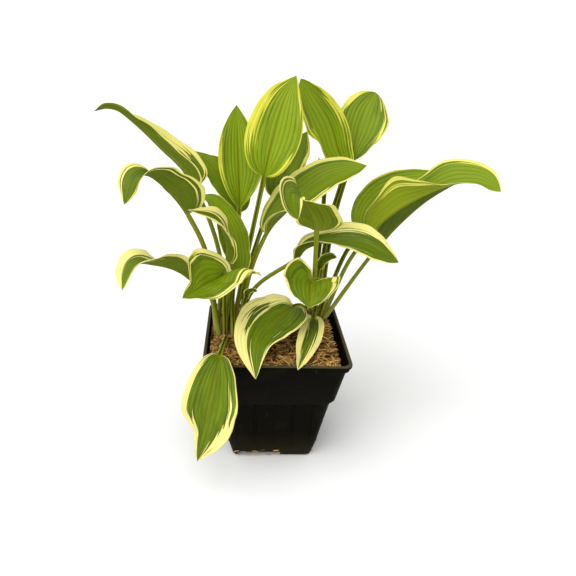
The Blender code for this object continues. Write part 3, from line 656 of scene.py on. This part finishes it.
def leaf_points(number, shape, across, share, settings):
    """Points of a leaf's upper side. share runs from -1 at the stalk's foot over 0, where the blade
    begins, to 1 at its tip, and across from -1 at the left margin to 1 at the right one."""
    chance = random.Random("leaf" + number)
    centre = CROWNS[shape["crown"]]
    ring, bearing = shape["foot"]
    bearing = math.radians(bearing)
    foot = (centre[0] + ring * math.cos(bearing), centre[1] + ring * math.sin(bearing), CROWN_TOP - 1.5)
    route = smooth_route([foot, *shape["stalk"], *shape["rib"]])
    junction = route[1][ROUTE_STEPS * (1 + len(shape["stalk"]))]
    length = route[1][-1] - junction
    blade = np.clip(share, 0, 1)
    left = across < 0
    spread = np.abs(across)

    def sided(name, default):
        return by_side(shape.get(name, default), left, blade)

    full = outline(blade, *shape.get("taper", (0.55, 0.95)))
    half = shape["width"] / 2 * full * sided("sides", (1, 1))
    outside = settings.stalk_radius / MM * (1 + 0.25 * ease(share, -0.3, -1.0))
    channel = 0.45 * outside * STALK_WRAP
    half = np.maximum(half, channel * (1 - ease(share, 0.5, 1.0)) + 0.25)
    opened = ease(share, -0.12, 0.1)
    fold = np.radians(sided("fold", (15, 15))) * opened
    curl = np.radians(sided("curl", (10, 10))) * opened + STALK_WRAP * (1 - opened)
    curl = np.where(np.abs(curl) < 1e-3, 1e-3, curl)
    lobes = shape.get("lobe", (0.1, 0.1))
    lobe = np.where(left, lobes[0], lobes[1]) * length * 1.6
    along = np.where(share < 0, junction * (1 + share), junction + length * blade)
    along = along - lobe * spread**1.6 * np.clip(full, 0, 1) * (1 - blade) ** 2.5 * (share > 0)
    out = half * (np.sin(fold + curl * spread) - np.sin(fold)) / curl
    rise = half * (np.cos(fold) - np.cos(fold + curl * spread)) / curl

    waves = chance.uniform(1.6, 2.6)
    turn = chance.uniform(0, 2 * math.pi)
    side_turn = np.where(left, 0.0, chance.uniform(1.5, 3.5))
    body = ease(blade, 0.0, 0.15) * (1 - ease(blade, 0.85, 1.0))
    ripple = settings.margin_ripple / MM * spread**2.2 * body
    rise = rise + ripple * np.sin(2 * math.pi * waves * blade + turn + side_turn)
    small = 0.35 * settings.margin_ripple / MM * spread**3 * body
    rise = rise + small * np.sin(2 * math.pi * (3.1 * waves) * blade + 2 * turn - side_turn)
    veins = np.abs(np.sin(math.pi * VEINS * spread)) ** 0.7
    arch = settings.vein_depth / MM * veins * (1 - ease(blade, 0.55, 1.0)) * ease(blade, 0.0, 0.12)
    arch = arch * (1 - ease(spread, 0.8, 1.0))
    groove = 0.55 * np.exp(-((spread / 0.07) ** 2)) * opened * (1 - ease(blade, 0.2, 0.9))
    rise = rise + arch - groove

    wave = shape.get("wave", (0, 0, 1, 0))
    height = np.where(left, wave[0], wave[1]) * spread**2 * np.clip(full, 0, 1)
    rise = rise + height * np.sin(2 * math.pi * (wave[2] * blade + wave[3]))

    held = np.where(share > 0, np.maximum(along, junction), along)
    start = junction * (1 - ease(share, -0.05, 0.03))
    forward, normal, sideways = facing(route, shape["face"], held, junction, junction - start)
    sign = np.where(left, -1.0, 1.0)
    rib = place_on(route, held) + (along - held)[..., None] * forward
    points = rib + (sign * out)[..., None] * sideways + rise[..., None] * normal
    stalk_depth = outside * (1 - ease(share, -0.1, 0.15))
    return points - (0.45 * stalk_depth)[..., None] * normal


def leaf_thickness(across, share, settings):
    """The thickness at each point as a share of the stalk's wall, which is the thickest."""
    wall = STALK_WALL * settings.stalk_radius
    thin = settings.blade_thickness / wall
    stalk = 1 - ease(share, -0.08, 0.12)
    keel = np.exp(-((across / 0.06) ** 2)) * (1 - ease(share, 0.0, 0.95)) * 0.85
    edge = 1 - 0.6 * ease(np.abs(across), 0.8, 1.0)
    return np.clip(thin * edge + (1 - thin) * np.maximum(stalk, keel), 0, 1)


def build_leaf(number, shape, settings, upper_skin, under_skin):
    """One leaf as a single sheet, from its channelled stalk to its tip, given its thickness."""
    name = "leaf_" + number
    across_steps, along_steps = 54, 84
    stalk_share = 0.26
    sheet = bmesh.new()
    sheet.loops.layers.uv.new("leaf")
    bmesh.ops.create_grid(sheet, x_segments=across_steps, y_segments=along_steps, size=1)
    flat = np.array([vert.co for vert in sheet.verts])
    across = np.clip(flat[:, 0], -1, 1)
    travel = (np.clip(flat[:, 1], -1, 1) + 1) / 2
    blade = np.clip((travel - stalk_share) / (1 - stalk_share), 0, 1)
    blade = 0.45 * blade + 0.55 * (0.5 - 0.5 * np.cos(blade * math.pi))
    share = np.where(travel < stalk_share, travel / stalk_share - 1, blade)
    points = leaf_points(number, shape, across, share, settings)
    for vert, point in zip(sheet.verts, points):
        vert.co = Vector(point) * MM
    layer = sheet.loops.layers.uv["leaf"]
    for face in sheet.faces:
        for loop in face.loops:
            place = loop.vert.index
            loop[layer].uv = (across[place] + 3 * int(number), share[place])
    mesh = bpy.data.meshes.new(name + "_sheet")
    sheet.to_mesh(mesh)
    sheet.free()

    age_and_painted_shade, green_share, warmth, splash = LOOKS[number]
    store(mesh, "across", across)
    store(mesh, "green_share", by_side(green_share, across < 0, np.clip(share, 0, 1)))
    for look, value in (("age_and_painted_shade", age_and_painted_shade), ("splash", splash), ("warmth", warmth)):
        store(mesh, look, np.full(len(across), value))
    leaf = add_piece(name + "_sheet", mesh, upper_skin, under_skin)
    weights = leaf_thickness(across, share, settings)
    group = leaf.vertex_groups.new(name="thickness")
    for place, weight in enumerate(weights):
        group.add([place], float(weight), "REPLACE")
    wall = leaf.modifiers.new("thickness", "SOLIDIFY")
    wall.thickness = STALK_WALL * settings.stalk_radius
    wall.offset = -1
    wall.vertex_group = "thickness"
    wall.thickness_vertex_group = 0.0
    wall.material_offset = 1
    wall.material_offset_rim = 0
    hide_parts(name)


def store(mesh, name, values):
    layer = mesh.attributes.new(name, "FLOAT", "POINT")
    layer.data.foreach_set("value", np.asarray(values, np.float32))


def add_piece(name, mesh, *materials):
    piece = bpy.data.objects.new(name, mesh)
    bpy.context.scene.collection.objects.link(piece)
    for material in materials:
        mesh.materials.append(material)
    mesh.shade_smooth()
    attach(piece, "root")
    return piece


# ---- pot, soil, mulch


def rounded_square(half, height):
    """The corner points of a square ring of the pot with round corners, counter-clockwise."""
    corner = CORNER_RADIUS * half / HALF
    ring = []
    for quarter in range(4):
        turn = quarter * math.pi / 2
        reach = half - corner
        middle_x = reach * (math.cos(turn) - math.sin(turn))
        middle_y = reach * (math.sin(turn) + math.cos(turn))
        for step in range(CORNER_STEPS + 1):
            angle = turn + step / CORNER_STEPS * math.pi / 2
            x = middle_x + corner * math.cos(angle)
            y = middle_y + corner * math.sin(angle)
            ring.append((x, y, height))
    return ring


def loft(rings):
    """A closed body through rings of points: the first ring is extruded from one to the next."""
    shape = bmesh.new()
    corners = [shape.verts.new(Vector(point) * MM) for point in rings[0]]
    edges = list(shape.faces.new(corners).edges)
    for ring in rings[1:]:
        grown = bmesh.ops.extrude_edge_only(shape, edges=edges)["geom"]
        edges = [item for item in grown if isinstance(item, bmesh.types.BMEdge)]
        places = {old.co.to_tuple(7): number for number, old in enumerate(corners)}
        moved = [None] * len(ring)
        for item in grown:
            if isinstance(item, bmesh.types.BMVert):
                moved[places[item.co.to_tuple(7)]] = item
        for corner, point in zip(moved, ring):
            corner.co = Vector(point) * MM
        corners = moved
    bmesh.ops.holes_fill(shape, edges=edges, sides=0)
    bmesh.ops.recalc_face_normals(shape, faces=shape.faces)
    return shape


def to_mesh(shape, name):
    mesh = bpy.data.meshes.new(name)
    shape.to_mesh(mesh)
    shape.free()
    return mesh


INSIDE = (
    (HALF - 2.2, POT_HEIGHT), (HALF - 3.5 - WALL, POT_HEIGHT - 8),
    (HALF - SKIRT_INSET - WALL, STEP_HEIGHT + STEP_RISE + 0.5),
    (HALF - STEP_INSET - WALL, STEP_HEIGHT + 0.5),
    (FOOT_HALF + FLARE_OUT - WALL, FLARE_HEIGHT), (FOOT_HALF - 1 - WALL, FLOOR_THICKNESS),
)
OUTSIDE = (
    (FOOT_HALF - 3, 0), (FOOT_HALF - 1, 2), (FOOT_HALF + FLARE_OUT, FLARE_HEIGHT),
    (HALF - STEP_INSET, STEP_HEIGHT), (HALF - SKIRT_INSET, STEP_HEIGHT + STEP_RISE),
    (HALF - 3.5, POT_HEIGHT - 7), (HALF - 1.5, POT_HEIGHT - 6),
    (HALF - 1, POT_HEIGHT - LIP_THICKNESS), (HALF, POT_HEIGHT - LIP_THICKNESS), (HALF, POT_HEIGHT),
)


def inner_half(height):
    """Half the clear width inside the pot's wall at a height."""
    heights = [level for width, level in reversed(INSIDE)]
    widths = [width for width, level in reversed(INSIDE)]
    return float(np.interp(height, heights, widths))


def heap_height(x, y):
    """The top of the mulch: a low mound behind the middle that drops along the right wall."""
    off_mound = (x - MOUND_PLACE[0]) ** 2 + (y - MOUND_PLACE[1]) ** 2
    mound = MOUND_RISE * math.exp(-off_mound / (2 * MOUND_SPREAD**2))
    dip = WALL_DIP * math.exp(-(((x - HALF + DIP_INSET) / DIP_REACH) ** 2))
    ripple = 0.5 * math.sin(x / 5.1 + 0.7) * math.cos(y / 4.3) + 0.4 * math.sin((x + y) / 3.7)
    return MULCH_LEVEL + mound - dip + ripple


def cut_away(piece, helper, operation):
    """Applies a Boolean to a piece at once and removes its helper."""
    modifier = piece.modifiers.new("shape", "BOOLEAN")
    modifier.object = helper
    modifier.operation = operation
    modifier.solver = "EXACT"
    graph = bpy.context.evaluated_depsgraph_get()
    graph.update()
    shaped = bpy.data.meshes.new_from_object(piece.evaluated_get(graph), depsgraph=graph)
    old = piece.data
    piece.modifiers.remove(modifier)
    piece.data = shaped
    bpy.data.meshes.remove(old)
    bpy.data.objects.remove(helper, do_unlink=True)


def helper_object(name, shape):
    thing = bpy.data.objects.new(name, to_mesh(shape, name))
    bpy.context.scene.collection.objects.link(thing)
    return thing


def build_pot(settings):
    rings = [rounded_square(half, height) for half, height in (*OUTSIDE, *INSIDE)]
    pot = add_piece("nursery_pot", to_mesh(loft(rings), "nursery_pot"), plastic_finish(settings))
    ribs = bmesh.new()
    for side in range(4):
        for number in range(-2, 3):
            rib = rib_shape(number * RIB_SPACING, side * math.pi / 2)
            part = to_mesh(rib, "rib")
            ribs.from_mesh(part)
            bpy.data.meshes.remove(part)
    cut_away(pot, helper_object("ribs", ribs), "UNION")
    slots = bmesh.new()
    for side in range(4):
        slot = bmesh.ops.create_cube(slots, size=1)["verts"]
        bmesh.ops.scale(slots, vec=Vector(SLOT_SIZE) * MM, verts=slot)
        bmesh.ops.translate(slots, vec=Vector((SLOT_SHIFT, -FOOT_HALF, 0)) * MM, verts=slot)
        turn = Matrix.Rotation(side * math.pi / 2, 3, "Z")
        bmesh.ops.rotate(slots, matrix=turn, verts=slot)
    cut_away(pot, helper_object("slots", slots), "DIFFERENCE")
    pot.data.set_sharp_from_angle(angle=math.radians(40))
    rounding = pot.modifiers.new("moulded edges", "BEVEL")
    rounding.width = settings.rim_bevel
    rounding.segments = 3
    rounding.limit_method = "ANGLE"
    rounding.angle_limit = math.radians(32)
    rounding.harden_normals = True
    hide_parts("pot")


def on_side(across, out, turn):
    """The point so far across one of the pot's sides and so far out from the pot's middle."""
    x = across * math.cos(turn) + out * math.sin(turn)
    return x, across * math.sin(turn) - out * math.cos(turn)


def rib_shape(offset, turn):
    """A shallow upright rib on the lower wall, from inside the wall to just proud of it."""
    rings = []
    ends = ((FOOT_HALF + FLARE_OUT, FLARE_HEIGHT), (HALF - STEP_INSET - 0.2, STEP_HEIGHT - 1))
    for half, height in ends:
        ring = []
        for side, depth in RIB_CORNERS:
            ring.append((*on_side(offset + side * RIB_HALF_WIDTH, half + depth, turn), height))
        rings.append(ring)
    return loft(rings)


def hull_shape(length):
    """One half of a rice hull: a thin boat with pointed ends and a slight curve."""
    hull = bmesh.new()
    bmesh.ops.create_grid(hull, x_segments=2, y_segments=4, size=1)
    for vert in hull.verts:
        side, along = vert.co.x, vert.co.y
        half = 0.12 * length * (1 - 0.75 * along * along)
        rise = 0.5 * half * (1 - side * side) + 0.05 * length * (1 - along * along)
        vert.co = (side * half, along * length / 2, rise)
    bmesh.ops.solidify(hull, geom=list(hull.faces), thickness=0.0002)
    bmesh.ops.recalc_face_normals(hull, faces=hull.faces)
    return to_mesh(hull, "hull")


def scatter_hulls(name, places, settings, seed):
    """Loose hulls at places given as point, turn, tilt and size, joined into one piece."""
    chance = random.Random(seed)
    heap = bmesh.new()
    pattern = hull_shape(settings.hull_length)
    shades = []
    for point, turn, tilt, roll, size in places:
        hull = pattern.copy()
        spin = Euler((tilt, roll, turn)).to_matrix().to_4x4()
        narrow = Matrix.Scale(chance.uniform(0.35, 0.85), 4, Vector((1, 0, 0)))
        hull.transform(Matrix.Translation(Vector(point) * MM) @ spin @ Matrix.Scale(size, 4) @ narrow)
        heap.from_mesh(hull)
        shades += [chance.betavariate(0.7, 0.8)] * len(hull.vertices)
        bpy.data.meshes.remove(hull)
    bpy.data.meshes.remove(pattern)
    mesh = to_mesh(heap, name)
    store(mesh, "shade", shades)
    return add_piece(name, mesh, hull_finish(settings))


def round_corner(x, y, half):
    """Draws a point in to where the pot's round corner leaves room for it."""
    reach = half - CORNER_RADIUS
    over_x, over_y = abs(x) - reach, abs(y) - reach
    if min(over_x, over_y) <= 0:
        return x, y
    shrink = max(over_x, over_y) / math.hypot(over_x, over_y)
    return math.copysign(reach + over_x * shrink, x), math.copysign(reach + over_y * shrink, y)


def clear_of_crowns(x, y):
    reach = CROWN_RADIUS - CROWN_OVERLAP
    return all(math.hypot(x - middle[0], y - middle[1]) >= reach for middle in CROWNS.values())


def build_mulch(settings):
    """The heap under the loose hulls, and the hulls themselves."""
    bed = bmesh.new()
    bmesh.ops.create_grid(bed, x_segments=90, y_segments=90, size=1)
    half = inner_half(MULCH_LEVEL) - CLEARANCE
    for vert in bed.verts:
        x, y = round_corner(vert.co.x * half, vert.co.y * half, half)
        lift = 0.7 * noise.noise(Vector((x, y, 0)) * 0.9) + 0.4 * noise.noise(Vector((x, y, 5)) * 2.3)
        height = heap_height(x, y) - 1.6 + lift
        narrowing = min((inner_half(height) - CLEARANCE) / half, 1)
        vert.co = Vector((x * narrowing, y * narrowing, height)) * MM
    grown = bmesh.ops.extrude_face_region(bed, geom=list(bed.faces))["geom"]
    lowered = [item for item in grown if isinstance(item, bmesh.types.BMVert)]
    low_half = inner_half(MULCH_FLOOR)
    for vert in lowered:
        narrowing = (low_half - CLEARANCE) / max(inner_half(vert.co.z / MM), low_half + 0.1)
        vert.co = Vector((vert.co.x * narrowing, vert.co.y * narrowing, (MULCH_FLOOR + 0.3) * MM))
    bmesh.ops.recalc_face_normals(bed, faces=bed.faces)
    base = add_piece("mulch_bed", to_mesh(bed, "mulch_bed"), hull_finish(settings))
    # The bed takes the darkest brown: painted shade in the gaps between the loose hulls.
    store(base.data, "shade", [1.0] * len(base.data.vertices))
    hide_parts("rice_hull_mulch")
    chance = random.Random(HEAP_SEED)
    places = []
    reach = half - 1.5
    while len(places) < settings.hull_count:
        x, y = chance.uniform(-reach, reach), chance.uniform(-reach, reach)
        if not clear_of_crowns(x, y):
            continue
        x, y = round_corner(x, y, reach)
        lift = chance.uniform(-1.2, 1.4)
        turn = chance.uniform(0, 2 * math.pi)
        tilt = chance.gauss(0, 0.3)
        roll = chance.gauss(0, 0.6) + (math.pi if chance.random() < 0.35 else 0)
        size = chance.uniform(0.75, 1.2)
        room = inner_half(heap_height(x, y) - 3) - 0.8
        length = size * settings.hull_length / MM / 2
        room_x = room - length * abs(math.sin(turn))
        room_y = room - length * abs(math.cos(turn))
        x, y = min(max(x, -room_x), room_x), min(max(y, -room_y), room_y)
        x, y = round_corner(x, y, min(room_x, room_y))
        places.append(((x, y, heap_height(x, y) + lift), turn, tilt, roll, size))
    hulls = scatter_hulls("loose_hulls", places, settings, HULL_SEED)


def build_slot_debris(settings):
    """Hulls that have washed down and hang in the drain slots."""
    chance = random.Random(SLOT_SEED)
    places = []
    for side in range(4):
        turn = side * math.pi / 2
        for number in range(9):
            across = -29 + number * 4.4 + chance.uniform(-1.5, 1.5)
            height = chance.uniform(1.8, 7.5)
            out = FOOT_HALF - 0.6 + max(height - 2, 0) / 4 + chance.uniform(-0.6, 0.3)
            point = (*on_side(across, out, turn), height)
            tilt = chance.gauss(0, 0.25)
            bearing = turn + chance.uniform(1.2, 1.9)
            places.append((point, bearing, tilt, chance.gauss(0, 0.6), 0.55))
    debris = scatter_hulls("slot_hulls", places, settings, SLOT_HULL_SEED)


# ---- operators


class HOSTA_OT_leaves(bpy.types.Operator):
    """Builds every leaf, stalk and blade in one, in the place of its plain solid"""

    bl_idname = "hosta.leaves"
    bl_label = "Leaves"

    def execute(self, context):
        settings = context.scene.hosta_leaf
        upper = leaf_finish("leaf_upper_side", settings, False)
        under = leaf_finish("leaf_underside", settings, True)
        for number, shape in LEAVES.items():
            build_leaf(number, shape, settings, upper, under)
        return {"FINISHED"}


class HOSTA_OT_pot(bpy.types.Operator):
    """Builds the moulded nursery pot"""

    bl_idname = "hosta.pot"
    bl_label = "Pot"

    def execute(self, context):
        build_pot(context.scene.hosta_pot)
        return {"FINISHED"}


class HOSTA_OT_soil(bpy.types.Operator):
    """Gives the soil and the crowns in it their finish"""

    bl_idname = "hosta.soil"
    bl_label = "Soil and crowns"

    def execute(self, context):
        soil = soil_finish(context.scene.hosta_pot)
        flesh = crown_finish()
        for name, finish in (("potting_soil", soil), ("crown_left", flesh), ("crown_right", flesh)):
            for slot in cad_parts[name].material_slots:
                slot.material = finish
        return {"FINISHED"}


class HOSTA_OT_mulch(bpy.types.Operator):
    """Heaps the rice hulls on the soil and leaves a few in the drain slots"""

    bl_idname = "hosta.mulch"
    bl_label = "Mulch"

    def execute(self, context):
        settings = context.scene.hosta_mulch
        build_mulch(settings)
        build_slot_debris(settings)
        return {"FINISHED"}


class HOSTA_OT_stage(bpy.types.Operator):
    """Sets the pale floor, the soft lights and the camera"""

    bl_idname = "hosta.stage"
    bl_label = "Stage"

    def execute(self, context):
        settings = context.scene.hosta_stage
        floor = bpy.data.objects.new("floor", floor_dish())
        context.scene.collection.objects.link(floor)
        floor.data.materials.append(floor_finish(settings))
        add_sky_light("key", SUN_WAY, settings.key_strength)
        world = bpy.data.worlds.new("studio")
        world.use_nodes = True
        background = world.node_tree.nodes["Background"]
        background.inputs["Color"].default_value = (1, 1, 1, 1)
        background.inputs["Strength"].default_value = settings.ambient
        context.scene.world = world
        camera = bpy.data.objects.new("camera", bpy.data.cameras.new("camera"))
        camera.data.lens = LENS
        camera.data.clip_start = 0.01
        context.scene.collection.objects.link(camera)
        camera.matrix_world = camera_place()
        context.scene.camera = camera
        context.scene.view_settings.view_transform = "Standard"
        return {"FINISHED"}


def camera_place():
    """The camera's place: above and in front of the pot, looking down with a slight lean."""
    yaw, pitch, lean = math.radians(5), math.radians(22.4), math.radians(-3.2)
    level = math.cos(pitch)
    forward = Vector((math.sin(yaw) * level, math.cos(yaw) * level, -math.sin(pitch)))
    right = Vector((math.cos(yaw), -math.sin(yaw), 0))
    down = forward.cross(right)
    leaned_right = math.cos(lean) * right + math.sin(lean) * down
    leaned_down = math.cos(lean) * down - math.sin(lean) * right
    turn = Matrix((leaned_right, -leaned_down, -forward)).transposed()
    return Matrix.Translation(CAMERA_SPOT) @ turn.to_4x4()


def add_sky_light(name, way, strength):
    """A broad light from far off, as through a large diffuser."""
    light = bpy.data.objects.new(name, bpy.data.lights.new(name, "SUN"))
    light.data.energy = strength
    light.data.angle = SUN_ANGLE
    bpy.context.scene.collection.objects.link(light)
    light.rotation_euler = (-Vector(way)).to_track_quat("-Z", "Y").to_euler()


def floor_dish():
    """A round floor that rises gently far out, so that no horizon shows behind the pot."""
    profile = [(0, 0)]
    for step in range(DISH_STEPS):
        out = step * DISH_STRIDE
        profile.append((FLAT_RADIUS + out, DISH_BEND * out * out))
    shape = bmesh.new()
    stops = [shape.verts.new((radius, 0, height)) for radius, height in profile]
    line = [shape.edges.new(pair) for pair in zip(stops, stops[1:])]
    whole_turn = {"angle": 2 * math.pi, "steps": ROUND_STEPS, "use_merge": True}
    bmesh.ops.spin(shape, geom=stops + line, cent=(0, 0, 0), axis=(0, 0, 1), **whole_turn)
    bmesh.ops.remove_doubles(shape, verts=shape.verts, dist=0.0001)
    bmesh.ops.recalc_face_normals(shape, faces=shape.faces)
    if sum(face.normal.z for face in shape.faces) < 0:
        bmesh.ops.reverse_faces(shape, faces=shape.faces)
    return to_mesh(shape, "floor")


class HOSTA_PT_panel(bpy.types.Panel):
    """Lists the steps that build the potted hosta"""

    bl_label = "Potted hosta"
    bl_idname = "HOSTA_PT_panel"
    bl_space_type = "VIEW_3D"
    bl_region_type = "UI"
    bl_category = "Hosta"

    def draw(self, context):
        for operator in STEPS:
            self.layout.operator(operator.bl_idname)
        for group in GROUPS:
            box = self.layout.box()
            settings = getattr(context.scene, group)
            for name in settings.__annotations__:
                box.prop(settings, name)


GROUPS = {
    "hosta_leaf": LeafSettings,
    "hosta_pot": PotSettings,
    "hosta_mulch": MulchSettings,
    "hosta_stage": StageSettings,
}
STEPS = (HOSTA_OT_pot, HOSTA_OT_soil, HOSTA_OT_mulch, HOSTA_OT_leaves, HOSTA_OT_stage)


def register():
    for name, group in GROUPS.items():
        bpy.utils.register_class(group)
        setattr(bpy.types.Scene, name, PointerProperty(type=group))
    for step in STEPS:
        bpy.utils.register_class(step)
    bpy.utils.register_class(HOSTA_PT_panel)


def unregister():
    bpy.utils.unregister_class(HOSTA_PT_panel)
    for step in reversed(STEPS):
        bpy.utils.unregister_class(step)
    for name, group in GROUPS.items():
        delattr(bpy.types.Scene, name)
        bpy.utils.unregister_class(group)


def corners(box):
    return [[float(value) for value in corner] for corner in box]


def main():
    register()
    bpy.ops.hosta.pot()
    bpy.ops.hosta.soil()
    bpy.ops.hosta.mulch()
    bpy.ops.hosta.leaves()
    bpy.ops.hosta.stage()


if __name__ == "__main__":
    main()
